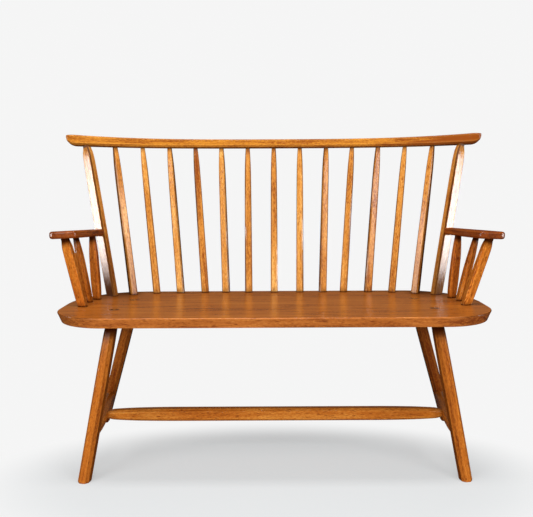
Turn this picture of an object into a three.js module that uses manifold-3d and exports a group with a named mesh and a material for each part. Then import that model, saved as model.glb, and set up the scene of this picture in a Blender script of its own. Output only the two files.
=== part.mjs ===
// Spindle-back settee for two, made like a stick chair: shaved sticks and legs are tenoned into
// one thick seat board, and a bent crest rail ties the tops of the back sticks together.
// Millimetres, +X to the right of someone who faces the bench, +Y to its back, +Z up.
// Inside the functions the front edge of the seat lies on Y = 0. The last step centres the bench.

import * as THREE from "three";
import { mergeVertices } from "three/addons/utils/BufferGeometryUtils.js";
import Module from "manifold-3d";

const wasm = await Module();
wasm.setup();

// Clearance round every tenon, shoulder, peg and wedge.
const jointGap = 0.3;
// How far a cutting bar runs past the face that it opens.
const cutOverrun = 6;
// How far a tenon reaches back inside its own stick.
const tenonRoot = 8;
// Sides of a round tenon and of its mortise.
const roundSides = 16;

// Seat board.
const seatHeight = 435;
const seatThickness = 28;
const seatHalfWidth = 586;
const seatDepth = 425;
const frontCornerAcross = 146;
const frontCornerDeep = 140;
const backCornerAcross = 191;
const backCornerDeep = 209;
const seatUndercut = 11;
const seatArrisWidth = 2;
const cornerSteps = 14;

// Crest rail. The lift is that of its underside at mid length above the seat.
const railLift = 447.5;
const railHalfLength = 637.5;
const railHeight = 24.5;
const railEndHeight = 32;
const railDepth = 29;
const railUnderCut = 5;
const railTopCut = 3;
const railBow = 72;
const railRise = 7;
const railTipLength = 28;
const railTipHeight = 9;
const railTipDepth = 17;
const railSteps = 14;
const railTipSteps = 6;
// The bow, the rise and the height grow with this power of the distance from the middle.
const railBendPower = 3;
// How far the rail's underside stands behind the feet of the middle spindles.
const backLean = 103;

// Back spindles, from the middle one outwards: places of the feet on the seat and on the rail.
const spindleWidth = 20.8;
const spindleTenonWidth = 14;
const spindleTenonDepth = 19;
const spindleNeckWidth = 11.6;
const spindleNeckDepth = 14;
const spindleFootAcrossShares = [0, 0.1355, 0.2554, 0.366, 0.495, 0.619, 0.735];
const spindleFootDeepShares = [0.948, 0.948, 0.948, 0.947, 0.942, 0.92, 0.868];
const spindleHeadAcrossShares = [0, 0.13, 0.261, 0.39, 0.518, 0.6485, 0.78];
const spindleAlongShares = [0, 0.08, 0.3, 0.6, 0.78, 0.86, 0.93, 1];
const spindleWidthShares = [1.07, 1.06, 1.03, 0.98, 0.93, 0.88, 0.78, 0.62];
const spindleFacetShare = 0.18;
// Each stick was shaved by hand, so each one shows its facets turned a little otherwise.
const spindleTurnDegrees = [0, -6, 8, -10, 6, -8, -32];

// End posts of the back.
const endPostWidth = 38;
const endPostThickness = 21;
const endPostTenonWidth = 17;
const endPostTenonDepth = 20;
const endPostNeckWidth = 15;
const endPostNeckDepth = 15;
const endPostFootAcrossShare = 0.836;
const endPostFootDeepShare = 0.815;
const endPostHeadAcrossShare = 0.91;
const endPostAlongShares = [0, 0.06, 0.2, 0.45, 0.75, 0.9, 0.96, 1];
const endPostWidthShares = [0.95, 0.98, 1, 1, 1, 0.97, 0.85, 0.6];
const endPostFacetShare = 0.2;
const endPostTurnDegrees = 35;

// Arms. Each arm was set by hand, so the two differ a little: the place of the underside over
// the front arm post, its lift above the seat, and how much lower the back end lies.
const leftArmAcross = 575;
const leftArmLift = 188;
const leftArmBackDropHeight = 10;
const rightArmAcross = 592;
const rightArmLift = 182.5;
const rightArmBackDropHeight = 4.5;
const armThickness = 21;
const armArrisWidth = 5;
const armFrontOverhang = 28;
const armBackOverhang = 8;
const armInnerWidth = 44;
const armOuterWidth = 42;
const armBackInnerWidth = 17;
const armBackOuterWidth = 26;
const armCornerRadius = 12;
const armOuterRadius = 30;
const armBackRadius = 9;
const armOuterDropHeight = 4.8;
const armFrontPostDeep = 180;
const armWaistShare = 0.52;
const armCurveSteps = 7;
const armBevelSteps = 2;

// Arm posts. The width and thickness are those of the front one; the shares run backwards from it.
const armPostWidth = 30;
const armPostThickness = 23;
const armPostWidthShares = [1, 0.83, 0.96];
const armPostThicknessShares = [1, 0.91, 0.87];
const armPostTenonWidth = 15;
const armPostTenonDepth = 19;
const armPostNeckWidth = 14;
const armPostNeckDepth = 13;
const armPostFootAcrossShares = [0.905, 0.906, 0.887];
const armPostFootDeepShares = [0.4, 0.562, 0.668];
const armPostHeadAcrossShares = [0, 0.15, -0.35];
const armPostHeadDeepShares = [0, 0.33, 0.6];
const armPostAlongShares = [0, 0.14, 0.4, 0.66, 0.88, 1];
const armPostProfileShares = [
  [0.86, 0.97, 1, 1, 0.96, 0.74],
  [0.8, 0.95, 1, 0.96, 0.8, 0.66],
  [0.8, 0.95, 1, 0.96, 0.8, 0.66],
];
const armPostFacetShare = 0.25;
const armPostTurnDegrees = [22, 30, 24];

// Legs: where the axis meets the top of the seat and the floor.
const legWidth = 31.5;
const legTenonWidth = 23.5;
const frontLegTopAcross = 432;
const frontLegTopDeep = 122;
const frontLegFootAcross = 498;
const frontLegFootDeep = 14;
const rearLegTopAcross = 408;
const rearLegTopDeep = 275;
const rearLegFootAcross = 558;
const rearLegFootDeep = 462;
const legAlongShares = [0, 0.008, 0.3, 0.62, 0.86, 0.95, 1];
const legWidthShares = [0.9, 0.97, 1, 1.02, 1, 0.96, 0.82];
const legFacetShare = 0.26;
const frontLegTurnDegrees = 12;
const rearLegTurnDegrees = 10;

// Wedges in the tops of the leg tenons.
const wedgeThickness = 4;
const wedgeTipThickness = 1.2;
const wedgeDepth = 20;

// Stretchers.
const sideStretcherFrontHeight = 112;
const sideStretcherRearHeight = 111;
const sideStretcherWidth = 37;
const sideStretcherTenonWidth = 18;
const sideStretcherTenonReach = 6;
const sideStretcherAlongShares = [0, 0.1, 0.27, 0.5, 0.73, 0.9, 1];
const sideStretcherWidthShares = [0.62, 0.84, 0.96, 1, 0.96, 0.84, 0.62];
const sideStretcherFacetShare = 0.29;
const sideStretcherTurnDegrees = 10;
// Where the cross stretcher stands between the front and the back ends of the side stretchers.
const crossStretcherPlaceShare = 0.46;
const crossStretcherHeight = 36;
const crossStretcherDepth = 31;
const crossStretcherTenonWidth = 18;
const crossStretcherTenonShort = 4;
const crossStretcherFacetShare = 0.2;
const crossStretcherAlongShares = [0, 0.013, 0.04, 0.1, 0.2, 0.5, 0.8, 0.9, 0.96, 0.987, 1];
const crossStretcherHeightShares = [0.5, 0.72, 0.82, 0.94, 1, 1, 1, 0.94, 0.82, 0.72, 0.5];

// Pegs that lock the rail to the end posts, driven from the back.
const railPegWidth = 6;
const railPegFrontCover = 5;
const railPegProud = 0.5;
// Dowels that hold the arms to the end posts, driven from behind the post.
const armDowelWidth = 9;
const armDowelGrip = 20;

const honeyOak = { color: "#b9722c", roughness: 0.34, metalness: 0 };
const amberOak = { color: "#c27b31", roughness: 0.32, metalness: 0 };
const redOak = { color: "#8a3f16", roughness: 0.3, metalness: 0 };
const darkOak = { color: "#6b3314", roughness: 0.45, metalness: 0 };
const paleOak = { color: "#c9975a", roughness: 0.5, metalness: 0 };

const sides = [
  {
    name: "left", sign: -1,
    arm: { across: leftArmAcross, lift: leftArmLift, backDrop: leftArmBackDropHeight },
  },
  {
    name: "right", sign: 1,
    arm: { across: rightArmAcross, lift: rightArmLift, backDrop: rightArmBackDropHeight },
  },
];

const bench = new THREE.Group();

// Shared helpers.

// Closed skin through rings of equal count, with a flat fan on each end.
function loft(rings) {
  const count = rings[0].length;
  const corners = rings.flat().flatMap((point) => point.toArray());
  const faces = [];
  for (let ring = 1; ring < rings.length; ring += 1) {
    const low = (ring - 1) * count;
    const high = ring * count;
    for (let side = 0; side < count; side += 1) {
      const next = (side + 1) % count;
      faces.push(low + side, low + next, high + next);
      faces.push(low + side, high + next, high + side);
    }
  }
  const last = (rings.length - 1) * count;
  for (let side = 2; side < count; side += 1) {
    faces.push(0, side, side - 1);
    faces.push(last, last + side - 1, last + side);
  }
  const skin = new THREE.BufferGeometry();
  skin.setAttribute("position", new THREE.Float32BufferAttribute(corners, 3));
  skin.setIndex(faces);
  return skin;
}

// Solid made from a closed geometry.
function solidOf(geometry) {
  const bare = geometry.clone();
  bare.deleteAttribute("normal");
  bare.deleteAttribute("uv");
  const merged = mergeVertices(bare);
  const vertProperties = new Float32Array(merged.attributes.position.array);
  const triVerts = new Uint32Array(merged.index.array);
  return new wasm.Manifold(new wasm.Mesh({ numProp: 3, vertProperties, triVerts }));
}

// Geometry with flat-shaded faces, made from a solid.
function geometryOf(solid) {
  const mesh = solid.getMesh();
  const geometry = new THREE.BufferGeometry();
  geometry.setAttribute("position", new THREE.BufferAttribute(mesh.vertProperties, mesh.numProp));
  geometry.setIndex(new THREE.BufferAttribute(mesh.triVerts, 1));
  geometry.computeVertexNormals();
  return geometry;
}

// Body of one piece with every cutter taken away. The cutters are geometries in bench space.
function cutAway(solid, frame, cutters) {
  const toPiece = frame.clone().invert();
  let left = solid;
  for (const cutter of cutters) {
    left = left.subtract(solidOf(cutter.clone().applyMatrix4(toPiece)));
  }
  return left;
}

function addPiece(name, solid, frame, wood) {
  const mesh = new THREE.Mesh(geometryOf(solid), new THREE.MeshStandardMaterial(wood));
  mesh.name = name;
  frame.decompose(mesh.position, mesh.quaternion, mesh.scale);
  bench.add(mesh);
}

// Frame with +Z along a stick, its foot at the origin and +X as near to world +X as it can be.
function stickFrame(foot, head, turnDegrees = 0) {
  const along = head.clone().sub(foot).normalize();
  const lying = Math.abs(along.x) > Math.abs(along.z);
  const start = lying ? new THREE.Vector3(0, 1, 0) : new THREE.Vector3(1, 0, 0);
  const across = start.addScaledVector(along, -start.dot(along)).normalize();
  across.applyAxisAngle(along, THREE.MathUtils.degToRad(turnDegrees));
  const deep = along.clone().cross(across);
  return new THREE.Matrix4().makeBasis(across, deep, along).setPosition(foot);
}

// Section of a shaved stick: a rectangle with its four corners planed off.
function facetSection(width, depth, facetShare) {
  const cut = Math.min(width, depth) * facetShare;
  const x = width / 2;
  const y = depth / 2;
  return [
    [x, y - cut], [x - cut, y], [cut - x, y], [-x, y - cut],
    [-x, cut - y], [cut - x, -y], [x - cut, -y], [x, cut - y],
  ].map(([across, deep]) => new THREE.Vector2(across, deep));
}

function roundSection(width) {
  const section = [];
  for (let side = 0; side < roundSides; side += 1) {
    const angle = (2 * Math.PI * side) / roundSides;
    section.push(new THREE.Vector2(Math.cos(angle), Math.sin(angle)).multiplyScalar(width / 2));
  }
  return section;
}

// Section raised to a place along the stick. With a lean given, the ring lies level in the bench.
function ringAt(section, along, lean = null) {
  return section.map((point) => {
    const drop = lean ? (point.x * lean.x + point.y * lean.y) / lean.z : 0;
    return new THREE.Vector3(point.x, point.y, along - drop);
  });
}

// Direction of bench +Z seen in a stick's frame.
function levelNormal(frame) {
  const turn = new THREE.Matrix3().setFromMatrix4(frame).transpose();
  return new THREE.Vector3(0, 0, 1).applyMatrix3(turn);
}

function roundBar(width, from, to, lean = null) {
  const section = roundSection(width);
  return loft([ringAt(section, from, lean), ringAt(section, to, lean)]);
}

// Mortise cutter for a round tenon, in bench space.
function mortise(frame, width, from, to) {
  return roundBar(width + 2 * jointGap, from, to).applyMatrix4(frame);
}

function union(parts) {
  return parts.slice(1).reduce((sum, part) => sum.add(solidOf(part)), solidOf(parts[0]));
}

// Places that several pieces share.

function onSeat(sign, acrossShare, deepShare) {
  return new THREE.Vector3(sign * seatHalfWidth * acrossShare, seatDepth * deepShare, seatHeight);
}

const spindleFootDeep = seatDepth * spindleFootDeepShares[0];
const railBackPlace = spindleFootDeep + backLean;
const backRake = Math.atan2(backLean, railLift);

// How far the rail has bent at a distance from the centre, from none in the middle to 1 at its ends.
function railBend(across) {
  return Math.abs(across / railHalfLength) ** railBendPower;
}

// Middle of the rail's underside at a distance from the centre.
function underRail(across) {
  const bend = railBend(across);
  return new THREE.Vector3(across, railBackPlace - railBow * bend, seatHeight + railLift + railRise * bend);
}

// Frame of an arm and its reach from the front arm post to the end post that it runs to. The
// frame has +Y along the arm to the back and its origin on the underside over the front arm post.
function placeArm({ sign, arm }, post) {
  const place = new THREE.Vector3(sign * arm.across, armFrontPostDeep, seatHeight + arm.lift);
  const level = (arm.lift + armThickness / 2) / (post.head.z - post.foot.z);
  const back = post.foot.clone().lerp(post.head, level).sub(place).setZ(0);
  const reach = back.length();
  back.setZ(-arm.backDrop).normalize();
  const out = new THREE.Vector3(back.y, -back.x, 0).normalize();
  out.z = (-sign * armOuterDropHeight) / (armInnerWidth + armOuterWidth);
  const up = out.clone().cross(back).normalize();
  const across = back.clone().cross(up);
  return { reach, frame: new THREE.Matrix4().makeBasis(across, back, up).setPosition(place) };
}

// Sticks: each returns its solid, its frame and the cutters for the pieces that hold it.

function shavedStick(options) {
  const { foot, head, sizes, facetShare, turn, footTenon, headTenon, headShort } = options;
  const frame = stickFrame(foot, head, turn);
  const lean = levelNormal(frame);
  const length = head.distanceTo(foot);
  const start = jointGap / lean.z;
  const reach = length - headShort - start;
  const rings = sizes.map(({ share, width, depth }) => {
    const section = facetSection(width, depth, facetShare);
    return ringAt(section, start + reach * share, share < 0.5 ? lean : null);
  });
  const headEnd = length + headTenon.depth;
  const hollowRings = sizes.map(({ share, width, depth }) => {
    const section = facetSection(width + 2 * jointGap, depth + 2 * jointGap, facetShare);
    return ringAt(section, start + reach * share);
  });
  const body = union([
    loft(rings),
    roundBar(footTenon.width, -footTenon.depth, tenonRoot),
    roundBar(headTenon.width, length - headShort - tenonRoot, headEnd),
  ]);
  return {
    frame, body, foot, head,
    hollow: loft(hollowRings).applyMatrix4(frame),
    seatCut: mortise(frame, footTenon.width, -footTenon.depth - jointGap, cutOverrun),
    headCut: mortise(frame, headTenon.width, length - cutOverrun, headEnd + jointGap),
  };
}

function makeSpindle(sign, index) {
  const foot = onSeat(sign, spindleFootAcrossShares[index], spindleFootDeepShares[index]);
  const head = underRail(sign * railHalfLength * spindleHeadAcrossShares[index]);
  const sizes = spindleAlongShares.map((share, place) => {
    const width = spindleWidth * spindleWidthShares[place];
    return { share, width, depth: width };
  });
  return shavedStick({
    foot, head, sizes,
    facetShare: spindleFacetShare,
    turn: sign * spindleTurnDegrees[index],
    footTenon: { width: spindleTenonWidth, depth: spindleTenonDepth },
    headTenon: { width: spindleNeckWidth, depth: spindleNeckDepth },
    headShort: spindleNeckWidth / 4,
  });
}

function makeEndPost(sign) {
  const foot = onSeat(sign, endPostFootAcrossShare, endPostFootDeepShare);
  const head = underRail(sign * railHalfLength * endPostHeadAcrossShare);
  const sizes = endPostAlongShares.map((share, place) => ({
    share,
    width: endPostWidth * endPostWidthShares[place],
    depth: endPostThickness * (1 + endPostWidthShares[place]) / 2,
  }));
  return shavedStick({
    foot, head, sizes,
    facetShare: endPostFacetShare,
    turn: sign * endPostTurnDegrees,
    footTenon: { width: endPostTenonWidth, depth: endPostTenonDepth },
    headTenon: { width: endPostNeckWidth, depth: endPostNeckDepth },
    headShort: endPostNeckWidth / 3,
  });
}

function makeArmPost(sign, index, { frame, reach }) {
  const foot = onSeat(sign, armPostFootAcrossShares[index], armPostFootDeepShares[index]);
  const head = new THREE.Vector3(
    sign * armOuterWidth * armPostHeadAcrossShares[index],
    reach * armPostHeadDeepShares[index],
    0,
  ).applyMatrix4(frame);
  const width = armPostWidth * armPostWidthShares[index];
  const depth = armPostThickness * armPostThicknessShares[index];
  const profile = armPostProfileShares[index];
  const sizes = armPostAlongShares.map((share, place) => ({
    share,
    width: width * profile[place],
    depth: depth * profile[place],
  }));
  return shavedStick({
    foot, head, sizes,
    facetShare: armPostFacetShare,
    turn: sign * armPostTurnDegrees[index],
    footTenon: { width: armPostTenonWidth, depth: armPostTenonDepth },
    headTenon: { width: armPostNeckWidth, depth: armPostNeckDepth },
    headShort: armPostNeckWidth / 3,
  });
}

// Seat.

// Outline of the seat, drawn in on every side by one distance.
function seatRing(inset, height) {
  const corner = (across, deep, acrossRadius, deepRadius, fromQuarter) => {
    const arc = [];
    for (let step = 0; step <= cornerSteps; step += 1) {
      const angle = (Math.PI / 2) * (fromQuarter + step / cornerSteps);
      arc.push([across + acrossRadius * Math.cos(angle), deep + deepRadius * Math.sin(angle)]);
    }
    return arc;
  };
  const backAcross = seatHalfWidth - backCornerAcross;
  const backDeep = seatDepth - backCornerDeep;
  const frontAcross = seatHalfWidth - frontCornerAcross;
  const backSizes = [backCornerAcross - inset, backCornerDeep - inset];
  const frontSizes = [frontCornerAcross - inset, frontCornerDeep - inset];
  const corners = [
    [backAcross, backDeep, ...backSizes],
    [-backAcross, backDeep, ...backSizes],
    [-frontAcross, frontCornerDeep, ...frontSizes],
    [frontAcross, frontCornerDeep, ...frontSizes],
  ];
  return corners
    .flatMap((sizes, quarter) => corner(...sizes, quarter))
    .map(([across, deep]) => new THREE.Vector3(across, deep, height));
}

function makeSeat(cutters) {
  const frame = new THREE.Matrix4().makeTranslation(0, 0, seatHeight);
  const board = loft([
    seatRing(seatUndercut + seatArrisWidth, -seatThickness),
    seatRing(seatUndercut, seatArrisWidth - seatThickness),
    seatRing(0, -seatArrisWidth),
    seatRing(seatArrisWidth, 0),
  ]);
  addPiece("seat", cutAway(solidOf(board), frame, cutters), frame, honeyOak);
}

// Crest rail.

// Places along one half of the rail, closer together in the tip that sweeps up.
function railPlaces() {
  const straightEnd = railHalfLength - railTipLength;
  const half = [];
  for (let step = 1; step <= railSteps; step += 1) {
    half.push((straightEnd * step) / railSteps);
  }
  for (let step = 1; step <= railTipSteps; step += 1) {
    half.push(straightEnd + railTipLength * Math.sin((Math.PI / 2) * (step / railTipSteps)));
  }
  return [...half.map((place) => -place).reverse(), 0, ...half];
}

function makeRail(cutters) {
  const up = new THREE.Vector3(0, Math.sin(backRake), Math.cos(backRake));
  const back = new THREE.Vector3(0, Math.cos(backRake), -Math.sin(backRake));
  const rings = railPlaces().map((across) => {
    const intoTip = Math.max(0, Math.abs(across) - railHalfLength + railTipLength) / railTipLength;
    const sweep = 1 - Math.sqrt(Math.max(0, 1 - intoTip ** 2));
    const height = railHeight + (railEndHeight - railHeight) * railBend(across);
    const low = (height - railTipHeight) * sweep;
    const high = height - railTopCut * sweep;
    const halfDepth = (railDepth - (railDepth - railTipDepth) * sweep) / 2;
    const underCut = railUnderCut - (railUnderCut - railTopCut) * sweep;
    const topCut = railTopCut * (2 - sweep) / 2;
    const base = underRail(across);
    return [
      [halfDepth, low + underCut], [halfDepth, high - topCut],
      [halfDepth - topCut, high], [topCut - halfDepth, high],
      [-halfDepth, high - topCut], [-halfDepth, low + underCut],
      [underCut - halfDepth, low], [halfDepth - underCut, low],
    ].map(([behind, rise]) => base.clone().addScaledVector(back, behind).addScaledVector(up, rise));
  });
  const frame = new THREE.Matrix4().setPosition(underRail(0));
  const rail = loft(rings).applyMatrix4(frame.clone().invert());
  addPiece("crest_rail", cutAway(solidOf(rail), frame, cutters), frame, amberOak);
}

// Arms.

// Outline of an arm seen from above, front edge first, in the arm's own frame.
function armOutline(sign, reach) {
  const front = -armFrontOverhang;
  const back = reach + armBackOverhang;
  const inner = -armInnerWidth;
  const waist = reach * armWaistShare;
  const outline = new THREE.Shape();
  outline.moveTo(sign * (inner + armCornerRadius), front);
  outline.lineTo(sign * (armOuterWidth - armOuterRadius), front);
  outline.quadraticCurveTo(sign * armOuterWidth, front, sign * armOuterWidth, front + armOuterRadius);
  outline.bezierCurveTo(
    sign * armOuterWidth, waist,
    sign * armBackOuterWidth, waist,
    sign * armBackOuterWidth, back - armBackRadius,
  );
  const outer = sign * armBackOuterWidth;
  outline.quadraticCurveTo(outer, back, outer - sign * armBackRadius, back);
  const innerBack = -sign * armBackInnerWidth;
  outline.lineTo(innerBack + sign * armBackRadius, back);
  outline.quadraticCurveTo(innerBack, back, innerBack, back - armBackRadius);
  outline.bezierCurveTo(
    -sign * armBackInnerWidth, waist,
    sign * inner, waist,
    sign * inner, front + armCornerRadius,
  );
  outline.quadraticCurveTo(sign * inner, front, sign * (inner + armCornerRadius), front);
  return outline;
}

function makeArm(side, { frame, reach }, cutters) {
  const board = new THREE.ExtrudeGeometry(armOutline(side.sign, reach), {
    depth: armThickness - 2 * armArrisWidth,
    bevelThickness: armArrisWidth,
    bevelSize: armArrisWidth,
    bevelOffset: -armArrisWidth,
    bevelSegments: armBevelSteps,
    curveSegments: armCurveSteps,
  }).translate(0, 0, armArrisWidth);
  addPiece(`arm_${side.name}`, cutAway(solidOf(board), frame, cutters), frame, redOak);
}

// Legs and wedges.

function makeLeg(sign, top, foot, turnDegrees) {
  const head = new THREE.Vector3(sign * top[0], top[1], seatHeight);
  const floor = new THREE.Vector3(sign * foot[0], foot[1], 0);
  const frame = stickFrame(floor, head, sign * turnDegrees);
  const straight = stickFrame(floor, head);
  const lean = levelNormal(frame);
  const length = head.distanceTo(floor);
  const bodyLength = (seatHeight - seatThickness - jointGap) / lean.z;
  const rings = legAlongShares.map((share, place) => {
    const width = legWidth * legWidthShares[place];
    return ringAt(facetSection(width, width, legFacetShare), bodyLength * share, lean);
  });
  const body = union([loft(rings), roundBar(legTenonWidth, bodyLength - tenonRoot, length, lean)]);
  const seatCut = mortise(frame, legTenonWidth, bodyLength - 2 * cutOverrun, length + 2 * cutOverrun);
  return { body, frame, straight, length, floor, head, seatCut };
}

// Place on a leg's axis at a height above the floor.
function onLeg(leg, height) {
  return leg.floor.clone().lerp(leg.head, height / seatHeight);
}

// A wedge lies fore and aft in its tenon, its top level with the seat.
function wedgeShape(leg, spare, sideways, runOut) {
  const lean = levelNormal(leg.straight);
  const taper = (wedgeThickness - wedgeTipThickness) / wedgeDepth;
  const section = (thickness) => [
    new THREE.Vector2(thickness / 2 + spare, sideways),
    new THREE.Vector2(-thickness / 2 - spare, sideways),
    new THREE.Vector2(-thickness / 2 - spare, -sideways),
    new THREE.Vector2(thickness / 2 + spare, -sideways),
  ];
  return loft([
    ringAt(section(wedgeTipThickness), leg.length - wedgeDepth - spare, lean),
    ringAt(section(wedgeThickness + taper * runOut), leg.length + runOut, lean),
  ]);
}

// Stretchers.

// How far from the middle of one stick the body of a stick tenoned into it begins.
function clearOfStick(width, facetShare, neckWidth, axis, direction) {
  const corner = Math.hypot(width / 2, width * (0.5 - facetShare));
  const slope = Math.abs(axis.dot(direction));
  return (corner + (neckWidth / 2) * slope) / Math.sqrt(1 - slope ** 2) + jointGap;
}

function makeSideStretcher(sign, frontLeg, rearLeg) {
  const front = onLeg(frontLeg, sideStretcherFrontHeight);
  const rear = onLeg(rearLeg, sideStretcherRearHeight);
  const frame = stickFrame(front, rear, sign * sideStretcherTurnDegrees);
  const direction = rear.clone().sub(front).normalize();
  const length = rear.distanceTo(front);
  const neck = sideStretcherWidth * sideStretcherWidthShares[0];
  const clearances = [frontLeg, rearLeg].map((leg) => {
    const axis = leg.head.clone().sub(leg.floor).normalize();
    return clearOfStick(legWidth, legFacetShare, neck, axis, direction);
  });
  const start = clearances[0];
  const end = length - clearances[1];
  const rings = sideStretcherAlongShares.map((share, place) => {
    const width = sideStretcherWidth * sideStretcherWidthShares[place];
    return ringAt(facetSection(width, width, sideStretcherFacetShare), start + (end - start) * share);
  });
  const body = union([
    loft(rings),
    roundBar(sideStretcherTenonWidth, -sideStretcherTenonReach, start + tenonRoot),
    roundBar(sideStretcherTenonWidth, end - tenonRoot, length + sideStretcherTenonReach),
  ]);
  const past = sideStretcherTenonReach + jointGap;
  return {
    body, frame, front, rear,
    frontCut: mortise(frame, sideStretcherTenonWidth, -past, start + cutOverrun),
    rearCut: mortise(frame, sideStretcherTenonWidth, end - cutOverrun, length + past),
  };
}

function makeCrossStretcher(left, right) {
  const from = left.front.clone().lerp(left.rear, crossStretcherPlaceShare);
  const to = right.front.clone().lerp(right.rear, crossStretcherPlaceShare);
  const frame = stickFrame(from, to);
  const length = to.distanceTo(from);
  const depthAt = (heightShare) => (crossStretcherDepth * (1 + heightShare)) / 2;
  const direction = to.clone().sub(from).normalize();
  const axis = left.rear.clone().sub(left.front).normalize();
  const neck = depthAt(crossStretcherHeightShares[0]);
  const start = clearOfStick(sideStretcherWidth, sideStretcherFacetShare, neck, axis, direction);
  const end = length - start;
  const rings = crossStretcherAlongShares.map((share, place) => {
    const height = crossStretcherHeight * crossStretcherHeightShares[place];
    const depth = depthAt(crossStretcherHeightShares[place]);
    return ringAt(facetSection(depth, height, crossStretcherFacetShare), start + (end - start) * share);
  });
  const short = crossStretcherTenonShort;
  return {
    frame,
    body: union([
      loft(rings),
      roundBar(crossStretcherTenonWidth, short, start + tenonRoot),
      roundBar(crossStretcherTenonWidth, end - tenonRoot, length - short),
    ]),
    leftCut: mortise(frame, crossStretcherTenonWidth, short - jointGap, start + cutOverrun),
    rightCut: mortise(frame, crossStretcherTenonWidth, end - cutOverrun, length + jointGap - short),
  };
}

// Pegs and dowels.

function makeRailPeg(post) {
  const along = new THREE.Vector3().setFromMatrixColumn(post.frame, 2);
  const middle = post.head.clone().addScaledVector(along, endPostNeckDepth / 2);
  const step = railTipLength / 2;
  const tangent = underRail(middle.x + step).sub(underRail(middle.x - step)).normalize();
  const up = new THREE.Vector3(0, Math.sin(backRake), Math.cos(backRake));
  const back = up.clone().cross(tangent).normalize();
  const offset = underRail(middle.x).sub(middle).dot(back);
  const tail = middle.clone().addScaledVector(back, offset + railDepth / 2 + railPegProud);
  const length = railDepth + railPegProud - railPegFrontCover;
  const frame = stickFrame(tail, tail.clone().sub(back));
  return {
    frame,
    body: solidOf(roundBar(railPegWidth, 0, length)),
    cut: mortise(frame, railPegWidth, -cutOverrun, length + jointGap),
  };
}

function makeArmDowel(post, frame) {
  const level = armThickness / 2;
  const toArm = frame.clone().invert();
  const low = post.foot.clone().applyMatrix4(toArm);
  const high = post.head.clone().applyMatrix4(toArm);
  const centre = low.lerp(high, (level - low.z) / (high.z - low.z));
  const tail = centre.clone().setY(centre.y + endPostThickness / 2);
  const tip = centre.clone().setY(centre.y - endPostThickness / 2 - armDowelGrip);
  const dowelFrame = stickFrame(tail.applyMatrix4(frame), tip.applyMatrix4(frame));
  const length = tail.distanceTo(tip);
  return {
    frame: dowelFrame,
    body: solidOf(roundBar(armDowelWidth, 0, length)),
    cut: mortise(dowelFrame, armDowelWidth, -cutOverrun, length + jointGap),
  };
}

// Assembly.

const seatCuts = [];
const railCuts = [];

function addSpindle(name, sign, index) {
  const spindle = makeSpindle(sign, index);
  seatCuts.push(spindle.seatCut);
  railCuts.push(spindle.headCut);
  addPiece(name, spindle.body, spindle.frame, amberOak);
}

function addArmSide(side) {
  const post = makeEndPost(side.sign);
  const place = placeArm(side, post);
  const peg = makeRailPeg(post);
  const dowel = makeArmDowel(post, place.frame);
  // The arm is housed against the end post and open inwards, so no corner of it is left behind.
  const openSide = post.hollow.clone().translate(-side.sign * armBackInnerWidth, 0, 0);
  const armCuts = [post.hollow, openSide, dowel.cut];
  seatCuts.push(post.seatCut);
  railCuts.push(post.headCut, peg.cut);
  const bored = cutAway(post.body, post.frame, [peg.cut, dowel.cut]);
  addPiece(`end_post_${side.name}`, bored, post.frame, amberOak);
  addPiece(`rail_peg_${side.name}`, peg.body, peg.frame, darkOak);
  addPiece(`arm_dowel_${side.name}`, dowel.body, dowel.frame, darkOak);
  for (const index of armPostWidthShares.keys()) {
    const armPost = makeArmPost(side.sign, index, place);
    seatCuts.push(armPost.seatCut);
    armCuts.push(armPost.headCut);
    addPiece(`arm_post_${side.name}_${index + 1}`, armPost.body, armPost.frame, amberOak);
  }
  makeArm(side, place, armCuts);
}

function addLeg(name, leg, stretcherCut) {
  const wedgeReach = legTenonWidth / 2 - 2 * jointGap;
  const kerf = wedgeShape(leg, jointGap, legTenonWidth, cutOverrun).applyMatrix4(leg.straight);
  const wedge = solidOf(wedgeShape(leg, 0, wedgeReach, 0));
  seatCuts.push(leg.seatCut);
  addPiece(`leg_${name}`, cutAway(leg.body, leg.frame, [kerf, stretcherCut]), leg.frame, honeyOak);
  addPiece(`leg_wedge_${name}`, wedge, leg.straight, paleOak);
}

function addBase() {
  const stretchers = sides.map((side) => {
    const frontTop = [frontLegTopAcross, frontLegTopDeep];
    const frontFoot = [frontLegFootAcross, frontLegFootDeep];
    const rearTop = [rearLegTopAcross, rearLegTopDeep];
    const rearFoot = [rearLegFootAcross, rearLegFootDeep];
    const front = makeLeg(side.sign, frontTop, frontFoot, frontLegTurnDegrees);
    const rear = makeLeg(side.sign, rearTop, rearFoot, rearLegTurnDegrees);
    const stretcher = makeSideStretcher(side.sign, front, rear);
    addLeg(`front_${side.name}`, front, stretcher.frontCut);
    addLeg(`rear_${side.name}`, rear, stretcher.rearCut);
    return stretcher;
  });
  const [left, right] = stretchers;
  const cross = makeCrossStretcher(left, right);
  const leftBored = cutAway(left.body, left.frame, [cross.leftCut]);
  const rightBored = cutAway(right.body, right.frame, [cross.rightCut]);
  addPiece("side_stretcher_left", leftBored, left.frame, amberOak);
  addPiece("side_stretcher_right", rightBored, right.frame, amberOak);
  addPiece("cross_stretcher", cross.body, cross.frame, amberOak);
}

addSpindle("spindle_middle", 1, 0);
for (const side of sides) {
  for (let index = 1; index < spindleFootAcrossShares.length; index += 1) {
    addSpindle(`spindle_${side.name}_${index}`, side.sign, index);
  }
  addArmSide(side);
}
addBase();
makeRail(railCuts);
makeSeat(seatCuts);

// The bench stands centred over the origin.
const box = new THREE.Box3().setFromObject(bench, true);
const middle = box.getCenter(new THREE.Vector3()).setZ(box.min.z);
for (const piece of bench.children) {
  piece.position.sub(middle);
}

export default bench;
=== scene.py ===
import bpy
import math
import numpy as np
from mathutils import Matrix, Vector


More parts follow.
